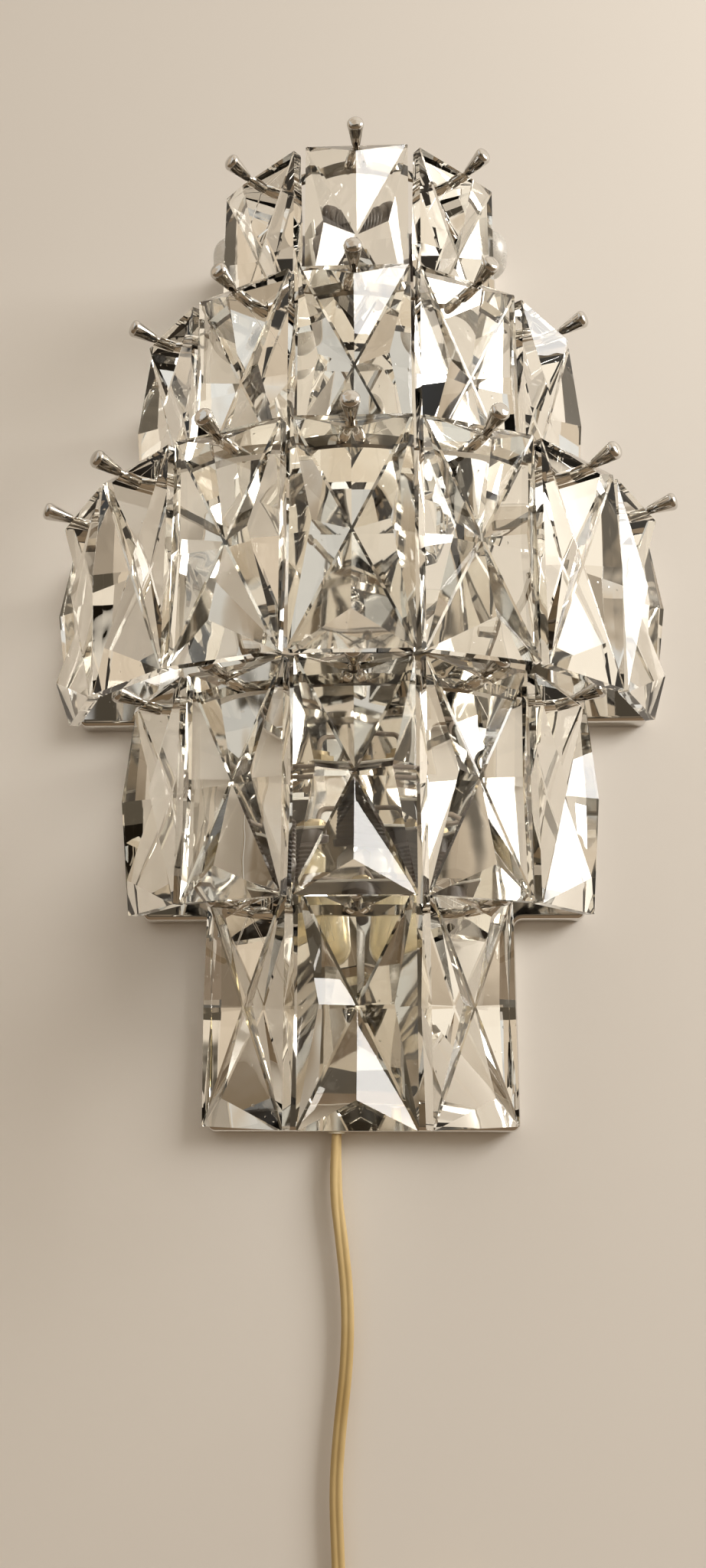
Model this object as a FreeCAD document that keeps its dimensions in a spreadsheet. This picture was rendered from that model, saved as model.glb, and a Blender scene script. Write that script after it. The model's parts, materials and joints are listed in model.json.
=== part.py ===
import FreeCAD, Part

import math
import os

import Sketcher
from FreeCAD import Placement, Rotation, Vector

# Crystal wall sconce. Millimetres and degrees. X is to the viewer's right, -Y is out of the wall
# and Z is up. The origin is on the wall, midway between the two wall screws.

SIZES = {
    # Moulded crystals: a slab with four raised peaks in front and a shallow roof behind.
    "crystal_width": 50.0,
    "crystal_height": 100.0,
    "crystal_edge": 4.5,
    "crystal_corner": 0.6,
    "back_rise": 2.0,
    "side_peak_inset": 9.6,
    "side_peak_rise": 9.0,
    "end_peak_inset": 12.4,
    "end_peak_rise": 11.0,
    "valley_half_width": 0.6,
    "hang_hole_radius": 2.7,
    "hang_hole_drop": 7.8,
    "hang_play": 1.15,
    "hang_lift": 0.9,
    # Tiers: radii are to the crystals' front border, measured from the common ring axis.
    "ring_radius": 76.5,
    "ring_step_mid": 33.5,
    "ring_step_large": 30.5,
    "crystal_clearance": 3.1,
    "tier_pitch": 91.5,
    "ring_setback": 15.0,
    # Half-round bands that carry the crystals.
    "band_tall": 4.5,
    "band_thick": 2.0,
    "band_gap": 0.5,
    "band_foot": 12.0,
    # Screw-in finials.
    "finial_tilt": 10.0,
    "stem_radius": 1.5,
    "thread_clearance": 0.05,
    "stem_tail": 1.2,
    "neck_reach": 7.9,
    "neck_radius": 1.95,
    "head_radius": 4.1,
    "head_taper": 11.0,
    "head_end": 2.4,
    "head_rounding": 2.2,
    # Stepped back plate, a shallow tray of polished sheet.
    "plate_depth": 10.0,
    "plate_sheet": 1.0,
    "plate_fold": 2.5,
    "plate_corner": 4.0,
    "plate_half_small": 74.0,
    "plate_half_mid": 108.5,
    "plate_half_large": 145.0,
    "plate_bottom_level": -237.0,
    "plate_low_step": -137.5,
    "plate_mid_step": -38.0,
    "plate_high_step": 55.0,
    "plate_top_step": 145.0,
    "plate_top_level": 232.0,
    # Wall bar and its screws.
    "bar_length": 140.0,
    "bar_tall": 18.0,
    "bar_thick": 2.0,
    "wall_screw_spacing": 60.0,
    "wall_hole_radius": 2.5,
    "plate_screw_spacing": 116.0,
    "plate_screw_radius": 2.0,
    "plate_screw_head_radius": 4.0,
    "plate_screw_head": 2.4,
    # Lamp holders and lamps.
    "lamp_side_inset": 27.0,
    "lamp_stand_off": 41.0,
    "lamp_end_clearance": 3.380884,
    "low_bar_level": -83.5,
    "high_lamp_level": 210.0,
    "bracket_sheet": 1.5,
    "low_bar_overhang": 13.5,
    "low_bar_deep": 18.0,
    "low_arm_spacing": 48.0,
    "low_arm_wide": 14.0,
    "high_ear_gap": 4.0,
    "high_ear_tall": 24.0,
    "bracket_foot": 14.0,
    "holder_radius": 12.0,
    "holder_lip_radius": 13.2,
    "holder_lip": 4.0,
    "holder_base_radius": 9.5,
    "holder_base": 7.0,
    "holder_length": 34.0,
    "holder_floor": 12.0,
    "shell_thick": 0.5,
    "cap_clearance": 0.15,
    "cap_radius": 6.9,
    "cap_length": 17.0,
    "cap_tip_radius": 3.0,
    "cap_tip": 4.0,
    "lamp_neck_radius": 6.6,
    "lamp_neck": 1.5,
    "lamp_shoulder": 7.0,
    "lamp_radius": 12.0,
    "lamp_length": 60.0,
    "lamp_rounding": 9.0,
    "nipple_radius": 5.0,
    "nut_radius": 7.5,
    "nut_tall": 3.0,
    # Wiring.
    "block_wide": 26.0,
    "block_tall": 16.0,
    "block_deep": 7.0,
    "block_level": -36.0,
    "block_screw_radius": 1.6,
    "block_screw_deep": 3.0,
    "block_screw_spread": 11.0,
    "lead_radius": 1.2,
    "lead_hole_radius": 5.5,
    "lead_hole_across": 6.0,
    "inner_hole_radius": 2.6,
    "inner_hole_across": -16.0,
    "inner_hole_level": -213.0,
    "cord_exit_across": -12.5,
    "cord_stand_off": 4.5,
    "cord_radius": 3.0,
    "cord_clearance": 0.05,
    "grommet_radius": 3.7,
    "grommet_flange": 0.8,
    "grommet_length": 5.0,
    "coil_cord_pitch": 6.0,
    "coil_mid_radius": 33.0,
    "coil_turns_across": 4.0,
    "coil_layers": 2.0,
    "coil_across": 31.5,
    "coil_level": -478.0,
    "plug_wide": 35.0,
    "plug_thick": 13.5,
    "plug_tall": 38.0,
    "plug_rounding": 5.0,
    "plug_relief": 22.0,
    "plug_relief_radius": 4.6,
    "pin_radius": 2.0,
    "pin_length": 19.0,
    "pin_spacing": 18.6,
}

# How many crystals hang in a tier of each width.
CRYSTAL_COUNTS = {"small_count": 3, "mid_count": 5, "large_count": 7}

# Tier name, its width, and how many pitches it lies above the middle tier.
TIERS = (
    ("top", "small", 2),
    ("upper", "mid", 1),
    ("middle", "large", 0),
    ("lower", "mid", -1),
    ("bottom", "small", -2),
)

# Points of the mains flex: across, away from the wall, height. Behind the plate, then below it.
HIDDEN_ROUTE = (
    (-5.5, -4.5, -44.0),
    (-6.3, -4.5, -80.0),
    (-8.6, -4.5, -120.0),
    (-11.2, -4.5, -160.0),
    (-12.3, -4.5, -200.0),
    (-12.5, -4.5, -237.8),
)
HANGING_ROUTE = (
    (-12.5, -4.5, -237.8),
    (-13.6, -4.4, -261.0),
    (-9.9, -4.2, -287.0),
    (-7.1, -4.0, -313.0),
    (-7.6, -3.9, -339.0),
    (-10.8, -3.8, -365.0),
    (-12.8, -3.6, -391.0),
    (-11.5, -3.4, -417.0),
    (-10.6, -3.2, -441.0),
    (-10.5, -3.1, -461.8),
)

# Points of the insulated leads from the block to the lamp holders.
UPPER_LEAD_ROUTE = (
    (6.0, -7.4, -27.9),
    (8.0, -7.4, 0.0),
    (13.0, -7.4, 40.0),
    (15.0, -7.4, 80.0),
    (12.0, -7.4, 120.0),
    (7.5, -7.4, 155.0),
    (6.3, -7.1, 185.0),
    (4.5, -19.0, 190.5),
    (1.5, -30.0, 192.2),
    (0.0, -38.0, 196.5),
    (0.2, -38.2, 204.7),
)
LOWER_LEAD_ROUTES = (
    ((3.4, -7.3, -44.1), (3.5, -7.1, -56.5), (0.0, -17.0, -62.5), (-14.0, -26.0, -65.5),
     (-34.0, -34.5, -67.5), (-48.5, -40.5, -70.0), (-49.5, -41.0, -76.8)),
    ((6.0, -7.3, -44.1), (6.1, -7.1, -56.0), (5.5, -18.0, -62.0), (2.0, -32.0, -64.5),
     (0.0, -40.5, -69.0), (0.1, -41.0, -76.8)),
    ((8.6, -7.3, -44.1), (8.7, -7.1, -56.5), (12.0, -17.0, -62.5), (24.0, -26.0, -65.5),
     (38.0, -34.5, -67.5), (48.5, -40.5, -70.0), (49.5, -41.0, -76.8)),
)

# How a sketch's constraints name the two ends of a line, and the sketch's own axes.
START_INDEX, END_INDEX = 1, 2
LEVEL_INDEX, UPRIGHT_INDEX = -1, -2

doc = FreeCAD.newDocument("crystal_wall_sconce")
sheet = doc.addObject("Spreadsheet::Sheet", "Sizes")
for row, (alias, number) in enumerate(SIZES.items(), start=1):
    sheet.set(f"A{row}", alias)
    sheet.set(f"B{row}", str(number))
    sheet.setAlias(f"B{row}", alias)
doc.recompute()


class Bound:
    """A size worked out from the sheet: its value now, and the expression that keeps it bound."""

    def __init__(self, value, text):
        self.value = float(value)
        self.text = text

    def __add__(self, other):
        other = bound(other)
        return Bound(self.value + other.value, f"({self.text} + {other.text})")

    def __sub__(self, other):
        other = bound(other)
        return Bound(self.value - other.value, f"({self.text} - {other.text})")

    def __mul__(self, other):
        other = bound(other)
        return Bound(self.value * other.value, f"({self.text} * {other.text})")

    def __truediv__(self, other):
        other = bound(other)
        return Bound(self.value / other.value, f"({self.text} / {other.text})")

    def __neg__(self):
        return Bound(-self.value, f"(0 - {self.text})")

    __radd__ = __add__

    def __rsub__(self, other):
        return bound(other) - self

    __rmul__ = __mul__


def bound(number):
    return number if isinstance(number, Bound) else Bound(number, repr(float(number)))


def size(alias):
    return Bound(getattr(sheet, alias), f"Sizes.{alias}")


def sine(angle):
    return Bound(math.sin(math.radians(angle.value)), f"sin({angle.text} * 1 deg)")


def cosine(angle):
    return Bound(math.cos(math.radians(angle.value)), f"cos({angle.text} * 1 deg)")


def arc_sine(ratio):
    return Bound(math.degrees(math.asin(ratio.value)), f"(asin({ratio.text}) / 1 deg)")


def bind(item, field, amount):
    item.setExpression(field, bound(amount).text)


def turn(item, axis, angle):
    """Turns item about an axis by an angle bound to the sheet."""
    item.Placement = Placement(item.Placement.Base, Rotation(Vector(*axis), 1.0))
    bind(item, "Placement.Rotation.Angle", angle)
    return item


def move(item, across=0.0, along=0.0, up=0.0):
    """Puts item's own origin at a place bound to the sheet."""
    for field, amount in (("x", across), ("y", along), ("z", up)):
        bind(item, f"Placement.Base.{field}", amount)
    return item


def box(name, corner, lengths):
    """A box from its lowest corner and its lengths along X, Y and Z."""
    item = doc.addObject("Part::Box", name)
    for field, amount in zip(("Length", "Width", "Height"), lengths):
        bind(item, field, amount)
    return move(item, *corner)


def rod(name, radius, length):
    """A cylinder from its own origin up its own Z."""
    item = doc.addObject("Part::Cylinder", name)
    bind(item, "Radius", radius)
    bind(item, "Height", length)
    return item


def rod_out(name, radius, start, length):
    """A cylinder that starts at a point and runs out of the wall, along -Y."""
    return move(turn(rod(name, radius, length), (1, 0, 0), 90.0), *start)


def join(name, items):
    item = doc.addObject("Part::MultiFuse", name)
    item.Shapes = items
    item.Refine = True
    return item


def group(name, items):
    item = doc.addObject("Part::Compound", name)
    item.Links = items
    return item


def cut(name, base, tool):
    item = doc.addObject("Part::Cut", name)
    item.Base = base
    item.Tool = tool
    return item


def copy_of(name, master):
    """A further copy of a master part, with a place of its own on top of the master's."""
    item = doc.addObject("App::Link", name)
    item.LinkedObject = master
    item.LinkTransform = True
    return item


def sketch(name, points):
    """A closed outline of straight lines whose corners are bound to the sheet."""
    item = doc.addObject("Sketcher::SketchObject", name)
    corners = [Vector(bound(x).value, bound(y).value, 0) for x, y in points]
    for start, end in zip(corners, corners[1:] + corners[:1]):
        item.addGeometry(Part.LineSegment(start, end), False)
    last = len(points) - 1
    for index, pair in enumerate(points):
        before = index - 1 if index else last
        item.addConstraint(Sketcher.Constraint("Coincident", before, END_INDEX, index, START_INDEX))
        for kind, axis, amount in (
            ("DistanceX", UPRIGHT_INDEX, bound(pair[0])),
            ("DistanceY", LEVEL_INDEX, bound(pair[1])),
        ):
            if amount.value == 0:
                item.addConstraint(Sketcher.Constraint("PointOnObject", index, START_INDEX, axis))
                continue
            ends = (LEVEL_INDEX, START_INDEX, index, START_INDEX)
            if amount.value < 0:
                ends = ends[2:] + ends[:2]
            label = f"{kind[-1]}_{index}"
            added = item.addConstraint(Sketcher.Constraint(kind, *ends, abs(amount.value)))
            item.renameConstraint(added, label)
            bind(item, f"Constraints.{label}", amount if amount.value > 0 else -amount)
    return item


def extruded(name, points, length, upright=False):
    """An outline carried straight up Z, or out of the wall along -Y when it stands upright."""
    item = doc.addObject("Part::Extrusion", name)
    item.Base = sketch(name + "_outline", points)
    if upright:
        item.Base.Placement = Placement(Vector(), Rotation(Vector(1, 0, 0), 90))
    item.DirMode = "Normal"
    item.Solid = True
    bind(item, "LengthFwd", length)
    return item


def turned(name, profile):
    """A profile of (radius, station) pairs turned round its own Y axis."""
    item = doc.addObject("Part::Revolution", name)
    item.Source = sketch(name + "_profile", profile)
    item.Axis = Vector(0, 1, 0)
    item.Angle = 360
    item.Solid = True
    return item


def rounded(name, base, radius, wanted):
    """Rounds the edges of base that the test picks out."""
    doc.recompute()
    item = doc.addObject("Part::Fillet", name)
    item.Base = base
    picked = [i for i, edge in enumerate(base.Shape.Edges, start=1) if wanted(edge)]
    item.Edges = [(i, radius.value, radius.value) for i in picked]
    return item


def all_points(edge, test):
    return all(test(vertex.Point) for vertex in edge.Vertexes)


def near(one, other):
    return abs(one - other) < 1e-4


def circle_at(edge, radius, station):
    """Whether an edge is the full circle of that radius at that station along Y."""
    curve = edge.Curve
    return isinstance(curve, Part.Circle) and near(curve.Radius, radius.value) and near(curve.Center.y, station.value)


# Places that several pieces share.

half_wide = size("crystal_width") / 2
half_tall = size("crystal_height") / 2
tilt = size("finial_tilt")
hole_level = half_tall - size("hang_hole_drop")
hole_top = size("hang_lift") + hole_level + size("hang_hole_radius")
stem_level = hole_top - size("stem_radius") / cosine(tilt) - size("hang_play")
back_at_hole = size("crystal_edge") + size("back_rise") * size("hang_hole_drop") / half_tall
band_outset = back_at_hole + size("band_gap")
band_level = stem_level - sine(tilt) / cosine(tilt) * (band_outset + size("band_thick") / 2)
plate_front = size("plate_depth")
plate_inside = plate_front - size("plate_sheet")


def ring_radius(width):
    """Each wider ring clears the one before it by a step of its own."""
    radius = size("ring_radius")
    if width != "small":
        radius = radius + size("ring_step_mid")
    if width == "large":
        radius = radius + size("ring_step_large")
    return radius


def tier_level(pitches):
    return size("tier_pitch") * pitches


def tier_angles(width):
    """The angle of each crystal, so that neighbours keep their clearance."""
    step = arc_sine((size("crystal_width") + size("crystal_clearance")) / (ring_radius(width) * 2)) * 2
    count = CRYSTAL_COUNTS[f"{width}_count"]
    return [step * (index - (count - 1) / 2) for index in range(count)]


def on_ring(item, width, angle, up):
    """Turns a piece to face out from the ring axis and puts it on the ring."""
    radius = ring_radius(width)
    turn(item, (0, 0, 1), angle)
    return move(item, radius * sine(angle), -size("ring_setback") - radius * cosine(angle), up)


# Crystals.


def triangle_peak(base, peak):
    """A closed solid on three base points, rising to a peak."""
    sides = [(base[0], base[1], peak), (base[1], base[2], peak), (base[2], base[0], peak), tuple(base)]
    faces = [Part.Face(Part.makePolygon([*side, side[0]])) for side in sides]
    solid = Part.Solid(Part.Shell(faces))
    if solid.Volume < 0:
        solid.reverse()
    return solid


def crystal_shape():
    """The moulded glass: slab with a roofed back, and a peak on each side of the crossed valleys."""
    wide, tall = half_wide.value, half_tall.value
    edge, roof = sheet.crystal_edge, sheet.crystal_edge + sheet.back_rise
    side = [(0, tall), (0, -tall), (edge, -tall), (roof, 0), (edge, tall)]
    outline = Part.Face(Part.makePolygon([Vector(-wide, y, z) for y, z in side + side[:1]]))
    slab = outline.extrude(Vector(2 * wide, 0, 0))
    corners = [e for e in slab.Edges if near(e.Length, edge) and near(abs(e.tangentAt(0).y), 1)]
    solid = slab.makeFillet(sheet.crystal_corner, corners)
    diagonal = math.hypot(wide, tall)
    tall_trim = sheet.valley_half_width * diagonal / wide
    wide_trim = sheet.valley_half_width * diagonal / tall
    for sign in (-1, 1):
        flank = [(sign * wide, tall - tall_trim), (sign * wide, tall_trim - tall), (sign * wide_trim, 0)]
        crown = [(wide - wide_trim, sign * tall), (wide_trim - wide, sign * tall), (0, sign * tall_trim)]
        flank_peak = Vector(sign * (wide - sheet.side_peak_inset), -sheet.side_peak_rise, 0)
        crown_peak = Vector(0, -sheet.end_peak_rise, sign * (tall - sheet.end_peak_inset))
        for base, peak in ((flank, flank_peak), (crown, crown_peak)):
            solid = solid.fuse(triangle_peak([Vector(x, 0, z) for x, z in base], peak))
    return solid.removeSplitter()


def make_crystals():
    blank = doc.addObject("Part::Feature", "crystal_blank")
    blank.Shape = crystal_shape()
    reach = size("end_peak_rise") + back_at_hole + size("back_rise")
    start = (0, back_at_hole + size("back_rise"), hole_level)
    crystal = cut("crystal", blank, rod_out("crystal_drill", size("hang_hole_radius"), start, reach))
    made = []
    for tier, width, pitches in TIERS:
        for index, angle in enumerate(tier_angles(width), start=1):
            item = copy_of(f"crystal_{tier}_{index}", crystal)
            made.append(on_ring(item, width, angle, tier_level(pitches) + size("hang_lift")))
    return made


# Bands and finials.


def make_finial():
    """One finial along its own Y: threaded stem, and a tapered head with a domed end."""
    tail = band_outset + size("band_thick") + size("stem_tail")
    taper_end = size("neck_reach") + size("head_taper")
    head_end = taper_end + size("head_end")
    profile = [
        (0, tail),
        (size("stem_radius"), tail),
        (size("stem_radius"), -size("neck_reach")),
        (size("neck_radius"), -size("neck_reach")),
        (size("head_radius"), -taper_end),
        (size("head_radius"), -head_end),
        (0, -head_end),
    ]
    head = turned("finial_turned", profile)
    finial = rounded("finial", head, size("head_rounding"), lambda e: circle_at(e, size("head_radius"), -head_end))
    return move(turn(finial, (-1, 0, 0), tilt), 0, 0, stem_level)


def make_tap():
    """The threaded hole that a finial's stem leaves in its band."""
    reach = band_outset + size("band_thick") * 2
    tap = rod("band_tap", size("stem_radius") + size("thread_clearance"), reach * 2)
    turn(tap, (-1, 0, 0), tilt + 90)
    return move(tap, 0, 0, stem_level)


def make_band(tier, width, pitches, tap):
    outer = ring_radius(width) - band_outset
    inner = outer - size("band_thick")
    level = tier_level(pitches) + band_level - size("band_tall") / 2
    setback = size("ring_setback")
    halves = []
    for name, amount in (("outer", outer), ("inner", inner)):
        half = rod(f"band_{tier}_{name}", amount, size("band_tall"))
        half.Angle = 180
        halves.append(move(turn(half, (0, 0, 1), 180.0), 0, -setback, level))
    parts = [cut(f"band_{tier}_arc", *halves)]
    for side, leg, foot in (
        ("left", -outer, -inner),
        ("right", inner, inner - size("band_foot")),
    ):
        leg_size = (size("band_thick"), setback - plate_front, size("band_tall"))
        parts.append(box(f"band_{tier}_{side}_leg", (leg, -setback, level), leg_size))
        foot_size = (size("band_foot"), size("band_thick"), size("band_tall"))
        foot_corner = (foot, -plate_front - size("band_thick"), level)
        parts.append(box(f"band_{tier}_{side}_foot", foot_corner, foot_size))
    strip = join(f"band_{tier}_strip", parts)
    holes = []
    for index, angle in enumerate(tier_angles(width), start=1):
        hole = copy_of(f"band_{tier}_hole_{index}", tap)
        holes.append(on_ring(hole, width, angle, tier_level(pitches)))
    return cut(f"ring_{tier}", strip, group(f"band_{tier}_holes", holes))


def make_finials(tier, width, pitches, finial):
    placed = []
    for index, angle in enumerate(tier_angles(width), start=1):
        item = copy_of(f"finial_{tier}_{index}", finial)
        placed.append(on_ring(item, width, angle, tier_level(pitches)))
    return group(f"finials_{tier}", placed)


def make_rings():
    finial = make_finial()
    tap = make_tap()
    made = []
    for tier, width, pitches in TIERS:
        made.append(make_band(tier, width, pitches, tap))
        made.append(make_finials(tier, width, pitches, finial))
    return made


# Back plate and wall bar.


def plate_outline(inset):
    """Right and left sides of the stepped outline, pulled in by the sheet's thickness."""
    steps = (
        (size("plate_half_small"), size("plate_bottom_level") + inset),
        (size("plate_half_small"), size("plate_low_step") + inset),
        (size("plate_half_mid"), size("plate_low_step") + inset),
        (size("plate_half_mid"), size("plate_mid_step") + inset),
        (size("plate_half_large"), size("plate_mid_step") + inset),
        (size("plate_half_large"), size("plate_high_step") - inset),
        (size("plate_half_mid"), size("plate_high_step") - inset),
        (size("plate_half_mid"), size("plate_top_step") - inset),
        (size("plate_half_small"), size("plate_top_step") - inset),
        (size("plate_half_small"), size("plate_top_level") - inset),
    )
    right = [(half - inset, level) for half, level in steps]
    return right + [(-half, level) for half, level in reversed(right)]


def tray(name, inset, depth, fold, corner):
    """A stepped block with rounded corners and a rounded front fold."""
    block = extruded(name + "_block", plate_outline(inset), depth, upright=True)
    limit = size("plate_half_large").value * 2

    def is_corner(edge):
        return near(edge.Length, depth.value) and edge.Length < limit and near(abs(edge.tangentAt(0).y), 1)

    cornered = rounded(name + "_cornered", block, corner, is_corner)
    return rounded(name, cornered, fold, lambda e: all_points(e, lambda p: near(p.y, -depth.value)))


def make_plate():
    sheet_thick = size("plate_sheet")
    outside = tray("plate_outside", bound(0), plate_front, size("plate_fold"), size("plate_corner"))
    inside = tray(
        "plate_inside", sheet_thick, plate_inside, size("plate_fold") - sheet_thick, size("plate_corner") - sheet_thick
    )
    shell = cut("plate_shell", outside, inside)
    holes = []
    deep = plate_front * 2
    for side, sign in (("left", -0.5), ("right", 0.5)):
        across = size("plate_screw_spacing") * sign
        clear = size("plate_screw_radius") + size("thread_clearance") * 4
        holes.append(rod_out(f"plate_screw_hole_{side}", clear, (across, 0, 0), deep))
    for name, level in (("low", low_lead_level), ("high", high_lead_level)):
        place = (size("lead_hole_across"), 0, level)
        holes.append(rod_out(f"plate_lead_hole_{name}", size("lead_hole_radius"), place, deep))
    inner_place = (size("inner_hole_across"), 0, size("inner_hole_level"))
    holes.append(rod_out("plate_tie_hole", size("inner_hole_radius"), inner_place, deep))
    cord_hole = rod("plate_cord_hole", size("grommet_radius"), size("grommet_length") * 2)
    cord_low = size("plate_bottom_level") - size("grommet_length")
    holes.append(move(cord_hole, size("cord_exit_across"), -size("cord_stand_off"), cord_low))
    return cut("backplate", shell, group("plate_holes", holes))


def make_wall_bar():
    length, tall, thick = size("bar_length"), size("bar_tall"), size("bar_thick")
    strip = box("wall_bar_strip", (-length / 2, -thick, -tall / 2), (length, thick, tall))
    blank = rounded(
        "wall_bar_blank",
        strip,
        size("plate_corner"),
        lambda e: near(e.Length, sheet.bar_thick) and near(abs(e.tangentAt(0).y), 1),
    )
    holes = []
    for side, sign in (("left", -0.5), ("right", 0.5)):
        across = size("wall_screw_spacing") * sign
        holes.append(rod_out(f"wall_hole_{side}", size("wall_hole_radius"), (across, thick, 0), thick * 3))
        across = size("plate_screw_spacing") * sign
        tapped = size("plate_screw_radius") + size("thread_clearance")
        holes.append(rod_out(f"bar_tapped_hole_{side}", tapped, (across, thick, 0), thick * 3))
    return cut("wall_bar", blank, group("wall_bar_holes", holes))


def make_plate_screws():
    screws = []
    for side, sign in (("left", -0.5), ("right", 0.5)):
        across = size("plate_screw_spacing") * sign
        shank = rod_out(f"plate_screw_shank_{side}", size("plate_screw_radius"), (across, 0, 0), plate_front)
        head_radius, head_tall = size("plate_screw_head_radius"), size("plate_screw_head")
        head = rod_out(f"plate_screw_head_{side}", head_radius, (across, -plate_front, 0), head_tall)
        top = -plate_front.value - head_tall.value
        domed = rounded(
            f"plate_screw_domed_{side}",
            head,
            head_tall / 2,
            lambda e: isinstance(e.Curve, Part.Circle) and near(e.Curve.Center.y, top),
        )
        screws.append(join(f"plate_screw_{side}", [shank, domed]))
    return group("plate_screws", screws)


# Lamp brackets, holders and lamps. The lamps keep inside the two smallest rings, and the ends of
# the sideways lamps keep clear of the backs of the top tier's outer crystals.

lamp_spacing = ring_radius("small") - size("lamp_side_inset")
lamp_stand_off = size("lamp_stand_off")
outer_angle = tier_angles("small")[-1]
outer_reach = (ring_radius("small") - size("crystal_edge")) * cosine(outer_angle)
outer_back = size("ring_setback") + outer_reach - half_wide * sine(outer_angle)
high_lamp_stand_off = outer_back - size("lamp_radius") - size("lamp_end_clearance")
low_lead_level = size("low_bar_level") + size("bracket_foot") + size("lead_hole_radius") * 2
high_lead_level = size("high_lamp_level") - size("high_ear_tall") / 2 - size("lead_hole_radius") * 2


def make_low_bracket():
    """A bar for the three downward lamps, on two arms that are folded up against the plate."""
    thick, deep = size("bracket_sheet"), size("low_bar_deep")
    top = size("low_bar_level")
    length, stand_off = (lamp_spacing + size("low_bar_overhang")) * 2, lamp_stand_off
    parts = [box("low_bar", (-length / 2, -stand_off - deep / 2, top), (length, deep, thick))]
    for side, sign in (("left", -0.5), ("right", 0.5)):
        start = size("low_arm_spacing") * sign - size("low_arm_wide") / 2
        arm_long = stand_off - deep / 2 - plate_front
        arm_corner = (start, -stand_off + deep / 2, top)
        parts.append(box(f"low_arm_{side}", arm_corner, (size("low_arm_wide"), arm_long, thick)))
        foot_corner = (start, -plate_front - thick, top)
        parts.append(box(f"low_foot_{side}", foot_corner, (size("low_arm_wide"), thick, size("bracket_foot"))))
    drills = []
    for index, sign in enumerate((-1, 0, 1), start=1):
        drill = rod(f"low_nipple_hole_{index}", size("nipple_radius") + size("thread_clearance"), thick * 3)
        drills.append(move(drill, lamp_spacing * sign, -stand_off, top - thick))
    return cut("lower_lamp_bracket", join("low_bracket_strip", parts), group("low_nipple_holes", drills))


def make_high_bracket():
    """A folded channel for the two sideways lamps: a web on the plate and two ears."""
    thick, tall = size("bracket_sheet"), size("high_ear_tall")
    level = size("high_lamp_level") - tall / 2
    reach = high_lamp_stand_off + size("nut_radius") + thick - plate_front
    gap = size("high_ear_gap")
    web = box("high_web", (-gap - thick, -plate_front - thick, level), (gap * 2 + thick * 2, thick, tall))
    parts = [web]
    for side, start in (("left", -gap - thick), ("right", gap)):
        parts.append(box(f"high_ear_{side}", (start, -plate_front - reach, level), (thick, reach, tall)))
    drill = rod("high_nipple_hole", size("nipple_radius") + size("thread_clearance"), gap * 2 + thick * 4)
    turn(drill, (0, 1, 0), 90.0)
    move(drill, -gap - thick * 2, -high_lamp_stand_off, size("high_lamp_level"))
    return cut("upper_lamp_bracket", join("high_bracket_strip", parts), drill)


def lamp_places():
    """Name, turn about Y and seat of each lamp holder; its own Y runs down into the bracket."""
    seat = size("low_bar_level")
    places = []
    for name, sign in (("low_left", -1), ("low_middle", 0), ("low_right", 1)):
        places.append((name, (-1, 0, 0), 90.0, (lamp_spacing * sign, -lamp_stand_off, seat)))
    ear = size("high_ear_gap") + size("bracket_sheet")
    for name, sign in (("high_left", -1), ("high_right", 1)):
        across = ear * sign
        turn_by = 90.0 if sign < 0 else -90.0
        places.append((name, (0, 0, 1), turn_by, (across, -high_lamp_stand_off, size("high_lamp_level"))))
    return places


def seated(item, place):
    """Puts a copy of a turned part on its lamp seat, with its own +Y pointing out to the lamp's tip."""
    _, axis, angle, seat = place
    turn(item, axis, angle)
    return move(item, *seat)


def holder_profile():
    bore = size("cap_radius") + size("cap_clearance") + size("shell_thick")
    length = size("holder_length")
    return [
        (0, 0),
        (size("holder_base_radius"), 0),
        (size("holder_base_radius"), size("holder_base")),
        (size("holder_radius"), size("holder_base") + 2),
        (size("holder_radius"), length - size("holder_lip")),
        (size("holder_lip_radius"), length - size("holder_lip")),
        (size("holder_lip_radius"), length),
        (bore, length),
        (bore, size("holder_floor")),
        (0, size("holder_floor")),
    ]


def shell_profile():
    inside = size("cap_radius") + size("cap_clearance")
    floor, top = size("holder_floor"), size("holder_length") - 1
    return [
        (inside, floor),
        (inside + size("shell_thick"), floor),
        (inside + size("shell_thick"), top),
        (inside, top),
    ]


def cap_profile():
    floor = size("holder_floor")
    shell_start = floor + size("cap_tip")
    return [
        (0, floor),
        (size("cap_tip_radius"), floor),
        (size("cap_radius"), shell_start),
        (size("cap_radius"), floor + size("cap_length") + size("cap_tip")),
        (0, floor + size("cap_length") + size("cap_tip")),
    ]


def glass_profile():
    start = size("holder_floor") + size("cap_length") + size("cap_tip")
    tip = size("holder_floor") + size("lamp_length")
    return [
        (0, start),
        (size("lamp_neck_radius"), start),
        (size("lamp_neck_radius"), start + size("lamp_neck")),
        (size("lamp_radius"), start + size("lamp_neck") + size("lamp_shoulder")),
        (size("lamp_radius"), tip),
        (0, tip),
    ]


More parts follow.
